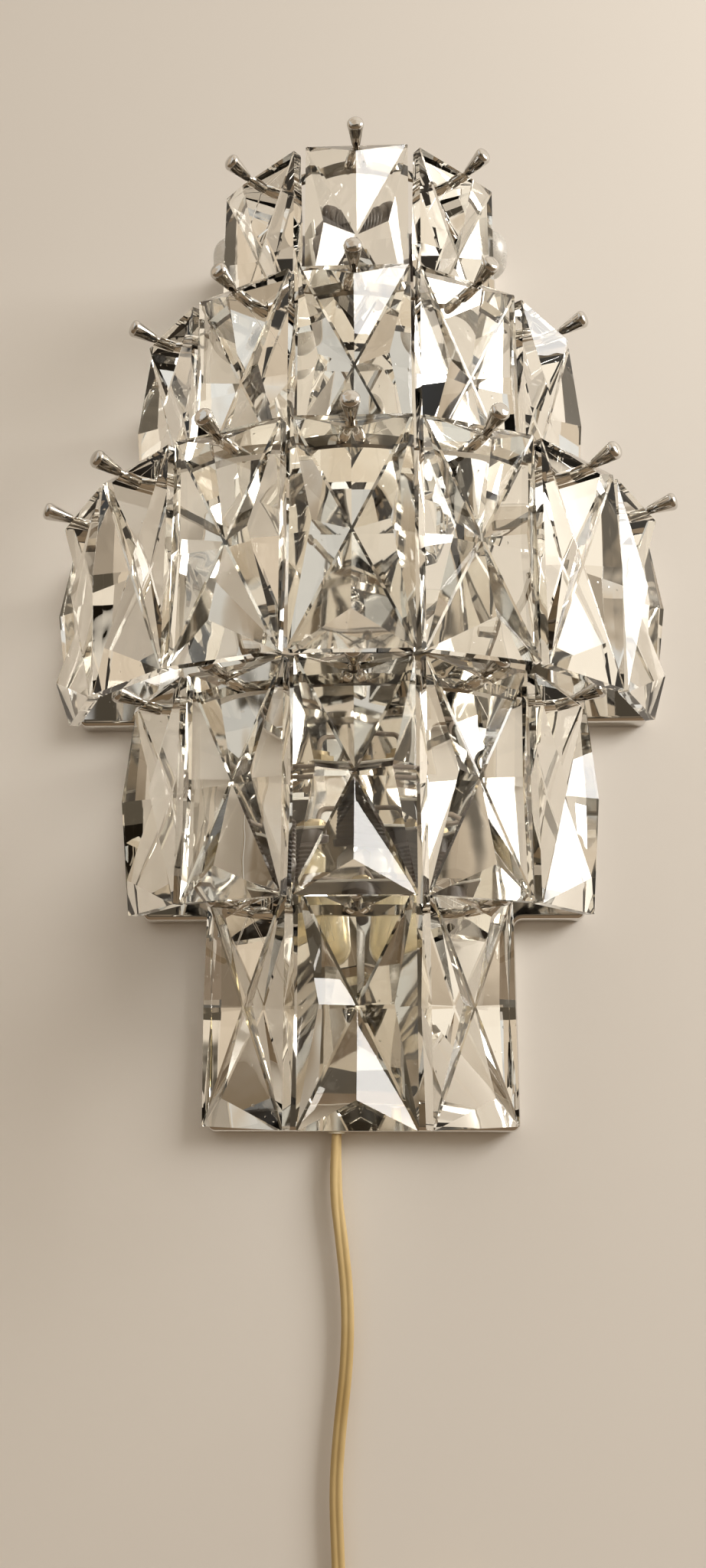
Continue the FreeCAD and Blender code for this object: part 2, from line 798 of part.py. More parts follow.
def make_nipples():
    """Hollow threaded nipples with a nut behind the bracket; the upper two lamps share one."""
    thick = size("bracket_sheet")
    short = thick + size("nut_tall") + 2
    pieces = []
    for index, sign in enumerate((-1, 0, 1), start=1):
        across, away = lamp_spacing * sign, -lamp_stand_off
        stud = move(rod(f"low_nipple_{index}", size("nipple_radius"), short), across, away, size("low_bar_level"))
        nut = doc.addObject("Part::Prism", f"low_nut_{index}")
        nut.Polygon = 6
        bind(nut, "Circumradius", size("nut_radius"))
        bind(nut, "Height", size("nut_tall"))
        move(nut, across, away, size("low_bar_level") + thick)
        pieces.append(join(f"low_nipple_with_nut_{index}", [stud, nut]))
    long = size("high_ear_gap") * 2 + thick * 2
    stud = turn(rod("high_nipple", size("nipple_radius"), long), (0, 1, 0), 90.0)
    move(stud, -long / 2, -high_lamp_stand_off, size("high_lamp_level"))
    pieces.append(stud)
    return group("holder_nipples", pieces)


def make_lamps():
    holder = turned("holder_turned", holder_profile())
    shell = turned("shell_turned", shell_profile())
    cap = turned("cap_turned", cap_profile())
    blank = turned("lamp_turned", glass_profile())
    tip = size("holder_floor") + size("lamp_length")
    glass = rounded("lamp_glass", blank, size("lamp_rounding"), lambda e: circle_at(e, size("lamp_radius"), tip))
    made, shells, caps = [], [], []
    for place in lamp_places():
        made.append(seated(copy_of(f"holder_{place[0]}", holder), place))
        made.append(seated(copy_of(f"lamp_{place[0]}", glass), place))
        shells.append(seated(copy_of(f"shell_{place[0]}", shell), place))
        caps.append(seated(copy_of(f"cap_{place[0]}", cap), place))
    return made + [group("holder_shells", shells), group("lamp_caps", caps)]


# Wiring behind the plate, the flex, its coil and its plug.


def route_wire(points):
    """Straight runs joined by tangent arcs, each as large as its two runs allow."""
    edges, radii, start = [], [], points[0]
    for before, corner, after in zip(points, points[1:], points[2:]):
        inward, outward = corner - before, after - corner
        half_turn = inward.getAngle(outward) / 2
        trim = 0.45 * min(inward.Length, outward.Length)
        radii.append(trim / math.tan(half_turn))
        entry = corner - inward.normalize() * trim
        leave = corner + outward.normalize() * trim
        middle = entry * 0.5 + leave * 0.5
        rise = (corner - middle).normalize()
        sagitta = radii[-1] / math.cos(half_turn) - radii[-1]
        edges.append(Part.LineSegment(start, entry).toShape())
        edges.append(Part.Arc(entry, corner - rise * sagitta, leave).toShape())
        start = leave
    edges.append(Part.LineSegment(start, points[-1]).toShape())
    return Part.Wire(edges), radii


def tube(name, points, radius):
    """A round cord along a route."""
    wire, radii = route_wire([Vector(*point) for point in points])
    first = wire.Edges[0]
    circle = Part.makeCircle(radius, wire.Vertexes[0].Point, first.tangentAt(first.FirstParameter))
    swept = wire.makePipeShell([Part.Wire(circle)], True, False)
    item = doc.addObject("Part::Feature", name)
    item.Shape = swept
    expected = math.pi * radius * radius * wire.Length
    smallest = f"{min(radii):.1f}" if radii else "none"
    print(f"{name}: length {wire.Length:.1f}, smallest arc {smallest}, volume ratio {swept.Volume / expected:.4f}")
    print("  arc radii", [round(value, 1) for value in radii])
    return item


def make_terminal_block():
    wide, tall, deep = size("block_wide"), size("block_tall"), size("block_deep")
    level = size("block_level") - tall / 2
    body = box("block_body", (-wide / 2, -plate_inside, level), (wide, deep, tall))
    screws, pockets = [], []
    spread = size("block_screw_spread")
    back = deep - plate_inside
    for index, (across, up) in enumerate(((-1, -1), (-1, 1), (1, -1), (1, 1)), start=1):
        place = (spread / 2 * across, back, size("block_level") + spread / 3 * up)
        pocket_radius = size("block_screw_radius") + size("thread_clearance")
        pockets.append(rod_out(f"block_pocket_{index}", pocket_radius, place, size("block_screw_deep")))
        screws.append(rod_out(f"block_screw_{index}", size("block_screw_radius"), place, size("block_screw_deep")))
    block = cut("terminal_block", body, group("block_pockets", pockets))
    return [block, group("terminal_screws", screws)]


def make_leads():
    """Insulated leads: from the block, through the plate's two lead holes, to the nipples."""
    routes = {"lead_high": UPPER_LEAD_ROUTE}
    for index, route in enumerate(LOWER_LEAD_ROUTES, start=1):
        routes[f"lead_low_{index}"] = route
    return group("lamp_leads", [tube(name, route, sheet.lead_radius) for name, route in routes.items()])


def make_flex():
    """The mains flex: from the block down to the grommet, then down the wall to its coil."""
    return [tube("flex_inside", HIDDEN_ROUTE, sheet.cord_radius), tube("mains_flex", HANGING_ROUTE, sheet.cord_radius)]


def coil_edge():
    """Across from the coil's centre to the middle of its outermost turn."""
    return size("coil_mid_radius") + size("coil_cord_pitch") * (size("coil_turns_across") - 1) / 2


def make_coil():
    turns, pitch = size("coil_turns_across"), size("coil_cord_pitch")
    mid = size("coil_mid_radius")
    deep = pitch * size("coil_layers")
    place = (size("coil_across"), 0, size("coil_level"))
    outer = rod_out("coil_outside", mid + turns * pitch / 2, place, deep)
    inner = rod_out("coil_inside", mid - turns * pitch / 2, place, deep)
    return cut("flex_coil", outer, inner)


def make_plug():
    """A flat two-pin plug with a short relief, hanging from the coil's last turn."""
    across = size("coil_across") - coil_edge()
    away = -size("coil_cord_pitch") * (size("coil_layers") - 0.5)
    reach = size("coil_cord_pitch") * 3
    relief_top = size("coil_level") - reach
    relief = doc.addObject("Part::Cone", "plug_relief")
    bind(relief, "Radius1", size("plug_relief_radius"))
    bind(relief, "Radius2", size("cord_radius"))
    bind(relief, "Height", size("plug_relief"))
    move(relief, across, away, relief_top - size("plug_relief"))
    body_top = relief_top - size("plug_relief")
    wide, thick, tall = size("plug_wide"), size("plug_thick"), size("plug_tall")
    block = box("plug_block", (across - wide / 2, away - thick / 2, body_top - tall), (wide, thick, tall))
    smooth = rounded("plug_smooth", block, size("plug_rounding"), lambda e: near(abs(e.tangentAt(0).z), 1))
    body = join("plug_body", [relief, smooth])
    pins = []
    for side, sign in (("left", -0.5), ("right", 0.5)):
        pin = rod(f"plug_pin_{side}", size("pin_radius"), size("pin_length"))
        place = (across + size("pin_spacing") * sign, away, body_top - tall - size("pin_length"))
        pins.append(move(pin, *place))
    return [body, group("plug_pins", pins)]


def make_grommet():
    across, away = size("cord_exit_across"), -size("cord_stand_off")
    fit = size("cord_clearance")
    low = size("plate_bottom_level") - size("grommet_flange")
    barrel = move(rod("grommet_barrel", size("grommet_radius") - fit, size("grommet_length")), across, away, low)
    flange_radius = size("grommet_radius") + size("grommet_flange") / 2
    flange = move(rod("grommet_rim", flange_radius, size("grommet_flange")), across, away, low)
    bore = rod("grommet_bore", size("cord_radius") + fit, size("grommet_length") * 3)
    move(bore, across, away, low - size("grommet_length"))
    return cut("cord_grommet", join("grommet_solid", [barrel, flange]), bore)


def check_and_export(items):
    doc.recompute()
    bad = [o.Name for o in doc.Objects if {"Invalid", "Error"} & set(o.State)]
    shapes = {item.Label: Part.getShape(item) for item in items}
    bad += [label for label, shape in shapes.items() if shape.isNull() or not shape.isValid()]
    if bad:
        raise RuntimeError(f"these objects failed: {bad}")
    os.makedirs("parts", exist_ok=True)
    for label, shape in shapes.items():
        shape.exportStep(f"parts/{label}.step")
        print(f"{label}: {len(shape.Solids)} solids, volume {shape.Volume:.0f}")


nodes = make_crystals() + make_rings()
nodes += [make_plate(), make_wall_bar(), make_plate_screws(), make_low_bracket(), make_high_bracket()]
nodes += make_lamps() + [make_nipples()]
nodes += make_terminal_block() + [make_grommet(), make_leads()]
nodes += make_flex() + [make_coil()] + make_plug()
check_and_export(nodes)
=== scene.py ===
import json
import math

import bmesh
import bpy
from mathutils import Matrix, Vector


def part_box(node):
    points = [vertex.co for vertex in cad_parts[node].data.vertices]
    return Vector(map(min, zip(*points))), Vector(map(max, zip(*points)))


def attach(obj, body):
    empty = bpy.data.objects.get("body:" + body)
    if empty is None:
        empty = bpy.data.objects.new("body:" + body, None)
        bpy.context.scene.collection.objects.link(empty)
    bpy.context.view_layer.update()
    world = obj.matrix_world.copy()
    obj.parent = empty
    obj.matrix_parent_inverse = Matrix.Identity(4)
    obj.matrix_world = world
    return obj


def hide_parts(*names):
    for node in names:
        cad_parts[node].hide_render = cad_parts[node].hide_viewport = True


# Looks of the crystal wall sconce. Metres. X is to the viewer's right, -Y is out of the wall and
# Z is up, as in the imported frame.

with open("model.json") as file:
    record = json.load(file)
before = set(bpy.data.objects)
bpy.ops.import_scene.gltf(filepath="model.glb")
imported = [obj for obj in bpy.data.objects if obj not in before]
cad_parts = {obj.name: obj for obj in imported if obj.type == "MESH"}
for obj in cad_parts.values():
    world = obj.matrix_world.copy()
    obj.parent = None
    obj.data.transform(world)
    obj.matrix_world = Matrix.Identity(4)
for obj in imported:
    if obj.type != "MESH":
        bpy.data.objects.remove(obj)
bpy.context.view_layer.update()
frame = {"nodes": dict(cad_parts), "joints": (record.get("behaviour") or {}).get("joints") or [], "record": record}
NODES = frame["nodes"]

MM = 0.001
BODY = "fixture"

# Sizes that the solids state, and that the finer pieces keep.

RING_SETBACK = 15.0 * MM
BAND_THICK = 2.0 * MM
BAND_FOOT = 12.0 * MM
PLATE_DEPTH = 10.0 * MM
PLATE_SHEET = 1.0 * MM
PLATE_FOLD = 2.5 * MM
PLATE_CORNER = 4.0 * MM
PIVOT_ABOVE_TIER = 45.8 * MM
PIVOT_BEHIND_FRONT = 2.0 * MM
STEM_LEVEL = 43.127 * MM
FINIAL_TILT = math.radians(10.0)
LAMP_NAMES = ("low_left", "low_middle", "low_right", "high_left", "high_right")

# Turned profiles are (radius, station) pairs in millimetres, and stations run along the axis.

STEM_RADIUS = 1.5
STEM_END = 8.5
HEAD_END = 21.45
HOLDER_RADIUS = 12.0
HOLDER_BORE = 7.55
HOLDER_LENGTH = 34.0
BORE_FLOOR = 12.0
RIB_COUNT = 18
RIB_START = 10.0
RIB_DEPTH = 0.5
CAP_RADIUS = 6.9
CAP_END = 33.0
SHELL_RADIUS = 7.05
BULB_NECK = 33.0
BULB_SHOULDER = 60.0
BULB_END = 72.0
BULB_WALL = 0.7

# How finely curves are drawn, and how edges are eased.

WELD_DISTANCE = 0.02 * MM
SAME_PLACE = 0.001 * MM
EASE_SEGMENTS = 2
FOLD_STEPS = 6
CORNER_STEPS = 6
BAND_STEPS = 96
THREAD_STEPS = 4
TRIANGLE = 3
QUARTER_TURN = 90.0


# Nodes.


def colour(red, green, blue):
    return (red, green, blue, 1.0)


def add_node(tree, kind, inputs, output=0, **settings):
    """Adds a node and gives one of its outputs. Inputs take sockets or plain values."""
    made = tree.nodes.new(kind)
    for label, amount in settings.items():
        setattr(made, label, amount)
    for key, amount in inputs.items():
        if isinstance(amount, bpy.types.NodeSocket):
            tree.links.new(amount, made.inputs[key])
        else:
            made.inputs[key].default_value = amount
    return made.outputs[output]


# The sockets of a Mix node that mixes colours.
MIX_FACTOR, MIX_FIRST, MIX_SECOND, MIX_RESULT = 0, 6, 7, 2


class Signal:
    """A node's output that can be added, multiplied and compared like a number."""

    def __init__(self, look, socket):
        self.look = look
        self.socket = socket

    def joined(self, operation, other):
        return self.look.node("ShaderNodeMath", {0: self, 1: other}, operation=operation)

    def __add__(self, other):
        return self.joined("ADD", other)

    def __mul__(self, other):
        return self.joined("MULTIPLY", other)

    def __gt__(self, other):
        return self.joined("GREATER_THAN", other)


class Look:
    """One procedural material and its main shader."""

    def __init__(self, name, **constants):
        self.material = bpy.data.materials.new(name)
        self.material.use_nodes = True
        self.tree = self.material.node_tree
        self.shader = self.tree.nodes["Principled BSDF"]
        self.output = self.tree.nodes["Material Output"]
        for label, amount in constants.items():
            self.shader.inputs[label.replace("_", " ")].default_value = amount

    def node(self, kind, inputs, output=0, **settings):
        """Adds a node whose inputs take signals or plain values."""
        plain = {key: getattr(amount, "socket", amount) for key, amount in inputs.items()}
        return Signal(self, add_node(self.tree, kind, plain, output, **settings))

    def place(self):
        return self.node("ShaderNodeTexCoord", {}, "Object")

    def noise(self, scale, detail=2.0):
        """Noise of about one feature per 1/scale metres, from 0 to 1."""
        return self.node("ShaderNodeTexNoise", {"Vector": self.place(), "Scale": scale, "Detail": detail})

    def specks(self, scale, size):
        """Round specks, 1 inside and 0 outside."""
        softness = 0.6
        distance = self.node("ShaderNodeTexVoronoi", {"Vector": self.place(), "Scale": scale})
        return self.between(distance, size, size * softness)

    def between(self, signal, low, high):
        """0 at low and 1 at high."""
        return self.node("ShaderNodeMapRange", {"Value": signal, "From Min": low, "From Max": high})

    def mix(self, factor, first, second):
        """A colour that runs from the first at 0 to the second at 1."""
        inputs = {MIX_FACTOR: factor, MIX_FIRST: colour(*first), MIX_SECOND: colour(*second)}
        return self.node("ShaderNodeMix", inputs, MIX_RESULT, data_type="RGBA")

    def set(self, label, signal):
        self.tree.links.new(signal.socket, self.shader.inputs[label])

    def bump(self, height, distance, strength=1.0):
        inputs = {"Height": height, "Distance": distance, "Strength": strength}
        self.set("Normal", self.node("ShaderNodeBump", inputs))

    def clear_shadow(self, share):
        """Lets a share of the light straight through for shadows, as clear glass does."""
        shadow = self.node("ShaderNodeLightPath", {}, "Is Shadow Ray")
        clear = self.node("ShaderNodeBsdfTransparent", {})
        inputs = {0: shadow * share, 1: self.shader.outputs[0], 2: clear}
        mixed = self.node("ShaderNodeMixShader", inputs)
        self.tree.links.new(mixed.socket, self.output.inputs["Surface"])


# Materials.


def crystal_look():
    """Clear moulded glass, polished, with slow waves and a few small seeds."""
    look = Look(
        "crystal_glass",
        Base_Color=colour(0.98, 0.965, 0.91),
        Transmission_Weight=1.0,
        IOR=1.545,
        Roughness=0.0,
    )
    wave_height, seed_height, seeded_above = 0.35, 0.15, 0.58
    waves = look.noise(scale=55.0, detail=1.0)
    seeds = look.specks(scale=160.0, size=0.10) * (look.noise(scale=38.0) > seeded_above)
    look.bump(waves * wave_height + seeds * seed_height, distance=0.0011, strength=0.22)
    look.clear_shadow(share=0.85)
    return look.material


def chrome_look(name, tone, roughness, waviness):
    """Mirror chrome with a thin dull film in places and a few pits."""
    film_roughness, pit_roughness = 0.05, 0.25
    film_tint, pit_tint, pit_height = 0.25, 0.5, 0.01
    pitted_above = 0.6
    dull_tone = tuple(part * 0.72 for part in tone)
    look = Look(name, Base_Color=colour(*tone), Metallic=1.0)
    film = look.between(look.noise(scale=26.0, detail=4.0), low=0.45, high=0.75)
    pits = look.specks(scale=420.0, size=0.07) * (look.noise(scale=30.0) > pitted_above)
    look.set("Roughness", film * film_roughness + pits * pit_roughness + roughness)
    look.set("Base Color", look.mix(film * film_tint + pits * pit_tint, tone, dull_tone))
    look.bump(look.noise(scale=9.0, detail=1.0) + pits * pit_height, distance=waviness)
    return look.material


def plain_look(name, tone, worn, roughness, grain=260.0, depth=0.0001, metallic=0.0):
    """A tone with worn blotches, a fine grain and an uneven sheen."""
    sheen_range, sheen_scale = 0.18, 0.4
    look = Look(name, Metallic=metallic)
    blotches = look.between(look.noise(scale=24.0, detail=5.0), low=0.35, high=0.75)
    sheen = look.noise(scale=grain * sheen_scale) * sheen_range
    look.set("Base Color", look.mix(blotches, tone, worn))
    look.set("Roughness", sheen + (roughness - sheen_range / 2))
    look.bump(look.noise(scale=grain, detail=3.0), distance=depth, strength=0.5)
    return look.material


def metal_look(name, tone, worn, roughness=0.34):
    return plain_look(name, tone, worn, roughness, metallic=1.0)


def lamp_look(name, tone, haze):
    """Thin blown glass with a hazy film."""
    least_haze = 0.4
    look = Look(name, Base_Color=colour(*tone), Transmission_Weight=0.80, IOR=1.46)
    film = look.between(look.noise(scale=40.0, detail=4.0), low=0.3, high=0.8)
    look.set("Roughness", film * haze + haze * least_haze)
    look.clear_shadow(share=0.8)
    return look.material


# Plain and metal looks take a tone and its worn tone.
LOOKS = {
    "crystal_glass": crystal_look(),
    "polished_chrome": chrome_look("polished_chrome", (0.74, 0.72, 0.69), roughness=0.03, waviness=0.0035),
    "band_chrome": chrome_look("band_chrome", (0.66, 0.64, 0.61), roughness=0.05, waviness=0.0006),
    "plated_steel": metal_look("plated_steel", (0.60, 0.59, 0.56), (0.46, 0.44, 0.40)),
    "holder_plastic": plain_look("holder_plastic", (0.045, 0.034, 0.03), (0.08, 0.065, 0.055), 0.32),
    "shell_brass": metal_look("shell_brass", (0.70, 0.53, 0.26), (0.48, 0.34, 0.16)),
    "nipple_brass": metal_look("nipple_brass", (0.52, 0.43, 0.28), (0.36, 0.29, 0.18)),
    "clear_lamp_glass": lamp_look("clear_lamp_glass", (0.82, 0.80, 0.76), haze=0.30),
    "amber_lamp_glass": lamp_look("amber_lamp_glass", (0.95, 0.87, 0.66), haze=0.10),
    "cap_metal": metal_look("cap_metal", (0.72, 0.71, 0.68), (0.55, 0.52, 0.46), roughness=0.36),
    "lead_insulation": plain_look("lead_insulation", (0.20, 0.16, 0.12), (0.13, 0.10, 0.08), 0.55),
    "block_plastic": plain_look("block_plastic", (0.85, 0.84, 0.80), (0.74, 0.71, 0.64), 0.5),
    "grommet_plastic": plain_look("grommet_plastic", (0.78, 0.72, 0.58), (0.62, 0.54, 0.38), 0.55),
    "flex_ivory": plain_look("flex_ivory", (0.60, 0.45, 0.22), (0.46, 0.32, 0.13), 0.42, depth=0.00008),
    "plug_ivory": plain_look("plug_ivory", (0.78, 0.71, 0.54), (0.62, 0.53, 0.36), 0.36),
    "lamp_wire": metal_look("lamp_wire", (0.30, 0.29, 0.28), (0.18, 0.17, 0.16), roughness=0.35),
}


# Making pieces.


def finished(shape, name, slot, nodes=(), look=None, sharp=None):
    """Turns a bmesh into a piece of the fixture that stands for CAD nodes. Sharp is in degrees."""
    bmesh.ops.recalc_face_normals(shape, faces=shape.faces)
    if sharp is not None:
        for face in shape.faces:
            face.smooth = True
        for edge in shape.edges:
            edge.smooth = edge.is_manifold and edge.calc_face_angle(0.0) < math.radians(sharp)
    mesh = bpy.data.meshes.new(name)
    shape.to_mesh(mesh)
    shape.free()
    piece = bpy.data.objects.new(name, mesh)
    bpy.context.scene.collection.objects.link(piece)
    mesh.materials.append(LOOKS[look or slot])
    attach(piece, BODY)
    if nodes:
        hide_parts(*nodes)
    return piece


def turned(degrees, axis):
    return Matrix.Rotation(math.radians(degrees), 4, axis)


def circle(radius, steps):
    """Points on a circle round the origin."""
    turns = (math.tau * step / steps for step in range(steps))
    return [(radius * math.cos(turn), radius * math.sin(turn)) for turn in turns]


def arc_points(centre, radius, start, end, steps):
    """Points on an arc in a plane, from one angle to another in degrees."""
    angles = (math.radians(start + (end - start) * step / steps) for step in range(steps + 1))
    return [(centre[0] + radius * math.cos(a), centre[1] + radius * math.sin(a)) for a in angles]


def scaled(points):
    """A profile that is written in millimetres."""
    return [(radius * MM, station * MM) for radius, station in points]


def lathe_ring(shape, radius, station, place, steps):
    """One ring of corners, or the single corner where a profile meets its axis."""
    if radius <= 0:
        return [shape.verts.new(place @ Vector((0, station, 0)))]
    return [shape.verts.new(place @ Vector((x, station, z))) for x, z in circle(radius, steps)]


def lathe(shape, profile, place, steps):
    """Adds a turned solid. The profile is (radius, station) pairs, and its axis is +Y before place."""
    rings = [lathe_ring(shape, radius, station, place, steps) for radius, station in profile]
    for near, far in zip(rings, rings[1:]):
        for step in range(steps):
            after = (step + 1) % steps
            sides = ((near, step), (near, after), (far, after), (far, step))
            corners = list(dict.fromkeys(ring[turn % len(ring)] for ring, turn in sides))
            if len(corners) >= TRIANGLE:
                shape.faces.new(corners)


def rod(shape, start, end, radius, steps=10):
    """A thin straight round rod between two points."""
    along = end - start
    place = Matrix.Translation(start) @ along.to_track_quat("Y", "Z").to_matrix().to_4x4()
    lathe(shape, [(0.0, 0.0), (radius, 0.0), (radius, along.length), (0.0, along.length)], place, steps)


def screw_profile(radius, start, end, pitch, depth):
    """Rolled thread crests from one station to another, written as a row of shallow waves."""
    steps = round(abs(end - start) / pitch) * THREAD_STEPS
    points = []
    for step in range(steps + 1):
        wave = (1 - math.cos(math.tau * step / THREAD_STEPS)) / 2
        points.append((radius - depth * wave, start + (end - start) * step / steps))
    return points


def ring_of(shape, points):
    return [shape.verts.new(point) for point in points]


def bridge(shape, near, far):
    """Faces between two closed rings of as many corners."""
    for index in range(len(near)):
        after = (index + 1) % len(near)
        shape.faces.new((near[index], near[after], far[after], far[index]))


def swept(shape, rows):
    """Faces along a row of closed rings, with both ends closed."""
    for near, far in zip(rows, rows[1:]):
        bridge(shape, near, far)
    shape.faces.new(rows[0])
    shape.faces.new(rows[-1])


def eased(shape, width, segments=EASE_SEGMENTS, limit=50.0):
    """Rounds the edges sharper than a limit in degrees."""
    sharp = [e for e in shape.edges if e.is_manifold and e.calc_face_angle(0.0) > math.radians(limit)]
    bmesh.ops.bevel(
        shape, geom=sharp, offset=width, segments=segments, affect="EDGES", profile=0.5, material=-1
    )


def ease_solid(node, width, limit, harden=False):
    """Eases the edges of a CAD node that are sharper than a limit in degrees."""
    weld = node.modifiers.new("weld", "WELD")
    weld.merge_threshold = WELD_DISTANCE
    ease = node.modifiers.new("eased_edges", "BEVEL")
    ease.width = width
    ease.segments = EASE_SEGMENTS
    ease.angle_limit = math.radians(limit)
    ease.harden_normals = harden


# Tiers, read from the joints that the crystals swing on.


def hung_places():
    """The turn and place of each crystal's front border at its tier's level, from its joint."""
    places = {}
    for joint in frame["joints"]:
        tier, index = joint["name"].replace("swing_", "").rsplit("_", 1)
        axis = Vector(joint["axis"])
        turn = math.atan2(-axis.y, -axis.x)
        outward = Vector((math.sin(turn), -math.cos(turn), 0))
        front = Vector(joint["pos_m"]) + outward * PIVOT_BEHIND_FRONT - Vector((0, 0, PIVOT_ABOVE_TIER))
        place = Matrix.Translation(front) @ Matrix.Rotation(turn, 4, "Z")
        places.setdefault(tier, {})[int(index)] = place
    return {tier: [found[index] for index in sorted(found)] for tier, found in places.items()}


PLACES = hung_places()


def dress_crystals():
    """The crystals stay the solids themselves, with eased edges."""
    for tier, places in PLACES.items():
        for index in range(1, len(places) + 1):
            ease_solid(NODES[f"crystal_{tier}_{index}"], 0.22 * MM, limit=17.0, harden=True)


def finial_profile():
    """Threaded stem, smooth shank, and a tapered head with a rounded, slightly domed end."""
    stem_end = [(0.0, STEM_END), (1.3, STEM_END)]
    thread = screw_profile(STEM_RADIUS, start=8.3, end=4.8, pitch=0.5, depth=0.12)
    shank = [(STEM_RADIUS, 4.6), (STEM_RADIUS, -7.7), (1.7, -7.9), (1.9, -8.0)]
    head = [(1.98, -8.2), (2.7, -11.8), (3.4, -15.4), (4.05, -18.7)]
    rounding = arc_points(centre=(19.0, 1.9), radius=2.2, start=QUARTER_TURN, end=0.0, steps=7)
    end = [(radius, -station) for station, radius in rounding]
    return scaled([*stem_end, *thread, *shank, *head, *end, (0.9, -21.4), (0.0, -HEAD_END)])


def finials():
    profile = finial_profile()
    tilt = Matrix.Translation((0, 0, STEM_LEVEL)) @ Matrix.Rotation(-FINIAL_TILT, 4, "X")
    for tier, places in PLACES.items():
        shape = bmesh.new()
        for place in places:
            lathe(shape, profile, place @ tilt, steps=28)
        name = f"turned_finials_{tier}"
        finished(shape, name, "polished_chrome", [f"finials_{tier}"], look="band_chrome", sharp=40)


def band_row(shape, line, index, low, high):
    """The four corners of a band's section at one point of its plan line, mitred at a bend."""
    least_lean = 0.35
    point = line[index]
    incoming = (point - line[max(index - 1, 0)]).normalized()
    outgoing = (line[min(index + 1, len(line) - 1)] - point).normalized()
    along = (incoming + outgoing).normalized()
    normal = Vector((-along.y, along.x))
    lean = normal.dot(Vector((-outgoing.y, outgoing.x))) if outgoing.length else 1.0
    inner = point - normal * BAND_THICK / max(least_lean, lean)
    return ring_of(shape, [(*point, low), (*point, high), (*inner, high), (*inner, low)])


def bands():
    """Half-round flat bands on edge, each with two feet on the plate."""
    for tier in PLACES:
        node = f"ring_{tier}"
        low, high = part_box(node)
        radius, front = high[0], -PLATE_DEPTH
        half = arc_points((0.0, -RING_SETBACK), radius, 0.0, -180.0, BAND_STEPS)
        right = [(radius - BAND_FOOT, front), (radius, front)]
        left = [(-radius, front), (BAND_FOOT - radius, front)]
        line = [Vector(point) for point in (*right, *half, *left)]
        shape = bmesh.new()
        swept(shape, [band_row(shape, line, index, low[2], high[2]) for index in range(len(line))])
        eased(shape, width=0.35 * MM)
        finished(shape, f"band_{tier}", "polished_chrome", [node], look="band_chrome", sharp=35)


# Back plate.

# The right half of the stepped outline, from below, as (across, level) in millimetres.
PLATE_STEPS = (
    (74.0, -237.0),
    (74.0, -137.5),
    (108.5, -137.5),
    (108.5, -38.0),
    (145.0, -38.0),
    (145.0, 55.0),
    (108.5, 55.0),
    (108.5, 145.0),
    (74.0, 145.0),
    (74.0, 232.0),
)

# Two screws, a small tie hole and the two lead holes, as (across, level, radius) in millimetres.
PLATE_HOLES = (
    (-58.0, 0.0, 2.2),
    (58.0, 0.0, 2.2),
    (-16.0, -213.0, 2.6),
    (6.0, -58.5, 5.5),
    (6.0, 187.0, 5.5),
)
HOLE_STEPS = 32


def plate_loop(inset, away):
    """The stepped outline with its corners rounded, pulled in by an inset, at a depth."""
    right = [Vector((x * MM, z * MM)) for x, z in PLATE_STEPS]
    left = [Vector((-corner.x, corner.y)) for corner in reversed(right)]
    corners = right + left
    loop = []
    for index, corner in enumerate(corners):
        incoming = (corner - corners[index - 1]).normalized()
        outgoing = (corners[(index + 1) % len(corners)] - corner).normalized()
        bend = incoming.x * outgoing.y - incoming.y * outgoing.x
        side = 1.0 if bend > 0 else -1.0
        inward = Vector((-incoming.y, incoming.x)) * side
        centre = corner + (inward - incoming) * PLATE_CORNER
        start = math.degrees(math.atan2(-inward.y, -inward.x))
        end = start + QUARTER_TURN * side
        points = arc_points(centre, PLATE_CORNER - side * inset, start, end, CORNER_STEPS)
        loop += [(x, -away, z) for x, z in points]
    return loop


def folded_rims(shape, inset, depth, fold):
    """Rims of one skin of the plate, from the wall round the fold to the front face."""
    rims = [ring_of(shape, plate_loop(inset, 0.0))]
    for step in range(FOLD_STEPS + 1):
        turn = math.radians(QUARTER_TURN * step / FOLD_STEPS)
        pulled_in = inset + fold * (1 - math.cos(turn))
        rims.append(ring_of(shape, plate_loop(pulled_in, depth - fold * (1 - math.sin(turn)))))
    for near, far in zip(rims, rims[1:]):
        bridge(shape, near, far)
    return rims


def hole_rims(shape, away):
    rims = []
    for across, level, radius in PLATE_HOLES:
        points = circle(radius * MM, HOLE_STEPS)
        rims.append(ring_of(shape, [(across * MM + x, -away, level * MM + z) for x, z in points]))
    return rims


def capped(shape, outline, rims):
    """Fills a flat face between an outline and the rims of its holes."""
    edges = []
    for loop in [outline, *rims]:
        for start, end in zip(loop, loop[1:] + loop[:1]):
            edges.append(shape.edges.get((start, end)) or shape.edges.new((start, end)))
    bmesh.ops.triangle_fill(shape, edges=edges, use_beauty=True)


def backplate():
    """A folded tray: two skins of a sheet, joined at the rim and at the holes."""
    shape = bmesh.new()
    inner_depth = PLATE_DEPTH - PLATE_SHEET
    outer = folded_rims(shape, 0.0, PLATE_DEPTH, PLATE_FOLD)
    inner = folded_rims(shape, PLATE_SHEET, inner_depth, PLATE_FOLD - PLATE_SHEET)
    bridge(shape, outer[0], inner[0])
    front = hole_rims(shape, PLATE_DEPTH)
    back = hole_rims(shape, inner_depth)
    capped(shape, outer[-1], front)
    capped(shape, inner[-1], back)
    for near, far in zip(front, back):
        bridge(shape, near, far)
    finished(shape, "polished_plate", "polished_chrome", ["backplate"], sharp=35)


# Lamps and holders.


